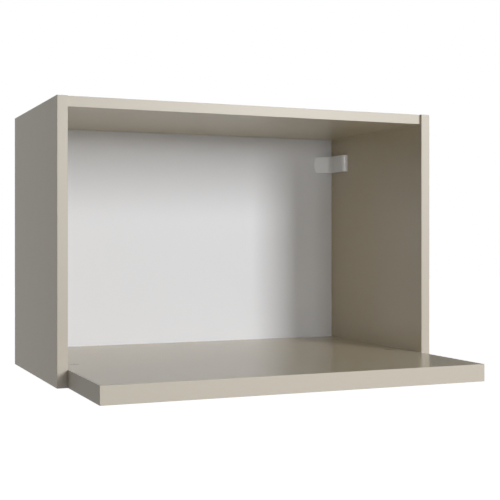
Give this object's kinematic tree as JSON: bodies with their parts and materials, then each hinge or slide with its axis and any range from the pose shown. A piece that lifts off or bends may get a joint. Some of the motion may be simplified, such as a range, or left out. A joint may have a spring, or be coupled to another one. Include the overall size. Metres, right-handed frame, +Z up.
{
  "type": "microwave cabinet",
  "caption": "Wall-hung open microwave cabinet with a thick bottom shelf that stands out in front, a thin white back and adjustable hangers.",
  "frame": {"origin": "middle of the bounding box's underside, on the bottom shelf's lower face", "axes": "+X to the right as seen from the room, +Y from the front of the shelf to the wall, +Z up"},
  "size_m": [0.6, 0.479, 0.404],
  "materials": {
    "melamine_board": "satin melamine on particle board, warm grey-beige",
    "abs_edging": "satin ABS edging in the boards' colour, rounded by trimming",
    "white_hardboard": "smooth white lacquered hardboard, brown and raw behind",
    "zinc_die_casting": "bare tumbled zinc die casting",
    "plated_steel": "bright zinc-plated steel",
    "beech": "fluted raw beech dowel",
    "cap_plastic": "moulded plastic, matt, in a shade a little darker than the boards",
    "cover_plastic": "white moulded plastic, fine satin"
  },
  "bodies": {
    "carcass": {"side_left": "melamine_board", "side_right": "melamine_board", "top_panel": "melamine_board", "bottom_shelf": "melamine_board", "back_panel": "white_hardboard", "edging_side_left": "abs_edging", "edging_side_right": "abs_edging", "edging_top_front": "abs_edging", "edging_shelf_front": "abs_edging", "edging_shelf_left_end": "abs_edging", "edging_shelf_right_end": "abs_edging", "connecting_bolt_shelf_left_front": "plated_steel", "connecting_bolt_shelf_left_rear": "plated_steel", "connecting_bolt_shelf_right_front": "plated_steel", "connecting_bolt_shelf_right_rear": "plated_steel", "connecting_bolt_top_left_front": "plated_steel", "connecting_bolt_top_left_rear": "plated_steel", "connecting_bolt_top_right_front": "plated_steel", "connecting_bolt_top_right_rear": "plated_steel", "dowel_shelf_left_front": "beech", "dowel_shelf_left_rear": "beech", "dowel_shelf_right_front": "beech", "dowel_shelf_right_rear": "beech", "dowel_top_left_front": "beech", "dowel_top_left_rear": "beech", "dowel_top_right_front": "beech", "dowel_top_right_rear": "beech", "back_screw_side_left": "plated_steel", "back_screw_side_right": "plated_steel", "back_screw_top_left": "plated_steel", "back_screw_top_right": "plated_steel", "back_screw_shelf_left": "plated_steel", "back_screw_shelf_right": "plated_steel", "hanger_left_housing": "zinc_die_casting", "hanger_left_fixing_screw": "plated_steel", "hanger_right_housing": "zinc_die_casting", "hanger_right_fixing_screw": "plated_steel"},
    "cam_shelf_left_front": {"cam_lock_shelf_left_front": "zinc_die_casting", "cam_cap_shelf_left_front": "cap_plastic"},
    "cam_shelf_left_rear": {"cam_lock_shelf_left_rear": "zinc_die_casting", "cam_cap_shelf_left_rear": "cap_plastic"},
    "cam_shelf_right_front": {"cam_lock_shelf_right_front": "zinc_die_casting", "cam_cap_shelf_right_front": "cap_plastic"},
    "cam_shelf_right_rear": {"cam_lock_shelf_right_rear": "zinc_die_casting", "cam_cap_shelf_right_rear": "cap_plastic"},
    "cam_top_left_front": {"cam_lock_top_left_front": "zinc_die_casting"},
    "cam_top_left_rear": {"cam_lock_top_left_rear": "zinc_die_casting"},
    "cam_top_right_front": {"cam_lock_top_right_front": "zinc_die_casting"},
    "cam_top_right_rear": {"cam_lock_top_right_rear": "zinc_die_casting"},
    "hanger_left_height_screw": {"hanger_left_height_screw": "plated_steel"},
    "hanger_left_carriage": {"hanger_left_carriage": "zinc_die_casting"},
    "hanger_left_depth_screw": {"hanger_left_depth_screw": "plated_steel"},
    "hanger_left_arm": {"hanger_left_hook_arm": "plated_steel"},
    "hanger_left_cover": {"hanger_left_cover": "cover_plastic"},
    "hanger_right_height_screw": {"hanger_right_height_screw": "plated_steel"},
    "hanger_right_carriage": {"hanger_right_carriage": "zinc_die_casting"},
    "hanger_right_depth_screw": {"hanger_right_depth_screw": "plated_steel"},
    "hanger_right_arm": {"hanger_right_hook_arm": "plated_steel"},
    "hanger_right_cover": {"hanger_right_cover": "cover_plastic"}
  },
  "joints": [
    {"name": "cam_shelf_left_front_turn", "type": "hinge", "parent": "carcass", "child": "cam_shelf_left_front", "pos_m": [-0.261, -0.009, 0.0125], "axis": [0, 0, 1], "range_deg": [0, 190]},
    {"name": "cam_shelf_left_rear_turn", "type": "hinge", "parent": "carcass", "child": "cam_shelf_left_rear", "pos_m": [-0.261, 0.175, 0.0125], "axis": [0, 0, 1], "range_deg": [0, 190]},
    {"name": "cam_shelf_right_front_turn", "type": "hinge", "parent": "carcass", "child": "cam_shelf_right_front", "pos_m": [0.261, -0.009, 0.0125], "axis": [0, 0, 1], "range_deg": [0, 190]},
    {"name": "cam_shelf_right_rear_turn", "type": "hinge", "parent": "carcass", "child": "cam_shelf_right_rear", "pos_m": [0.261, 0.175, 0.0125], "axis": [0, 0, 1], "range_deg": [0, 190]},
    {"name": "cam_top_left_front_turn", "type": "hinge", "parent": "carcass", "child": "cam_top_left_front", "pos_m": [-0.261, -0.009, 0.3965], "axis": [0, 0, 1], "range_deg": [0, 190]},
    {"name": "cam_top_left_rear_turn", "type": "hinge", "parent": "carcass", "child": "cam_top_left_rear", "pos_m": [-0.261, 0.175, 0.3965], "axis": [0, 0, 1], "range_deg": [0, 190]},
    {"name": "cam_top_right_front_turn", "type": "hinge", "parent": "carcass", "child": "cam_top_right_front", "pos_m": [0.261, -0.009, 0.3965], "axis": [0, 0, 1], "range_deg": [0, 190]},
    {"name": "cam_top_right_rear_turn", "type": "hinge", "parent": "carcass", "child": "cam_top_right_rear", "pos_m": [0.261, 0.175, 0.3965], "axis": [0, 0, 1], "range_deg": [0, 190]},
    {"name": "hanger_left_height_turn", "type": "hinge", "parent": "carcass", "child": "hanger_left_height_screw", "pos_m": [-0.27963, 0.206, 0.34375], "axis": [0, 0, 1], "range_deg": [-1620, 1620]},
    {"name": "hanger_left_carriage_slide", "type": "slide", "parent": "carcass", "child": "hanger_left_carriage", "axis": [0, 0, 1], "range_m": [-0.0045, 0.0045]},
    {"name": "hanger_left_depth_turn", "type": "hinge", "parent": "hanger_left_carriage", "child": "hanger_left_depth_screw", "pos_m": [-0.28, 0.1915, 0.34375], "axis": [0, 1, 0], "range_deg": [-1800, 1800]},
    {"name": "hanger_left_arm_slide", "type": "slide", "parent": "hanger_left_carriage", "child": "hanger_left_arm", "axis": [0, 1, 0], "range_m": [-0.005, 0.005]},
    {"name": "hanger_left_cover_pull", "type": "slide", "parent": "carcass", "child": "hanger_left_cover", "axis": [1, 0, 0], "range_m": [0, 0.03]},
    {"name": "hanger_right_height_turn", "type": "hinge", "parent": "carcass", "child": "hanger_right_height_screw", "pos_m": [0.27963, 0.206, 0.34375], "axis": [0, 0, 1], "range_deg": [-1620, 1620]},
    {"name": "hanger_right_carriage_slide", "type": "slide", "parent": "carcass", "child": "hanger_right_carriage", "axis": [0, 0, 1], "range_m": [-0.0045, 0.0045]},
    {"name": "hanger_right_depth_turn", "type": "hinge", "parent": "hanger_right_carriage", "child": "hanger_right_depth_screw", "pos_m": [0.28, 0.1915, 0.34375], "axis": [0, 1, 0], "range_deg": [-1800, 1800]},
    {"name": "hanger_right_arm_slide", "type": "slide", "parent": "hanger_right_carriage", "child": "hanger_right_arm", "axis": [0, 1, 0], "range_m": [-0.005, 0.005]},
    {"name": "hanger_right_cover_pull", "type": "slide", "parent": "carcass", "child": "hanger_right_cover", "axis": [-1, 0, 0], "range_m": [0, 0.03]}
  ],
  "couplings": [
    {"joint": "hanger_left_height_turn", "follows": "hanger_left_carriage_slide", "rad_per_m": -6283},
    {"joint": "hanger_left_depth_turn", "follows": "hanger_left_arm_slide", "rad_per_m": -6283},
    {"joint": "hanger_right_height_turn", "follows": "hanger_right_carriage_slide", "rad_per_m": -6283},
    {"joint": "hanger_right_depth_turn", "follows": "hanger_right_arm_slide", "rad_per_m": -6283}
  ]
}
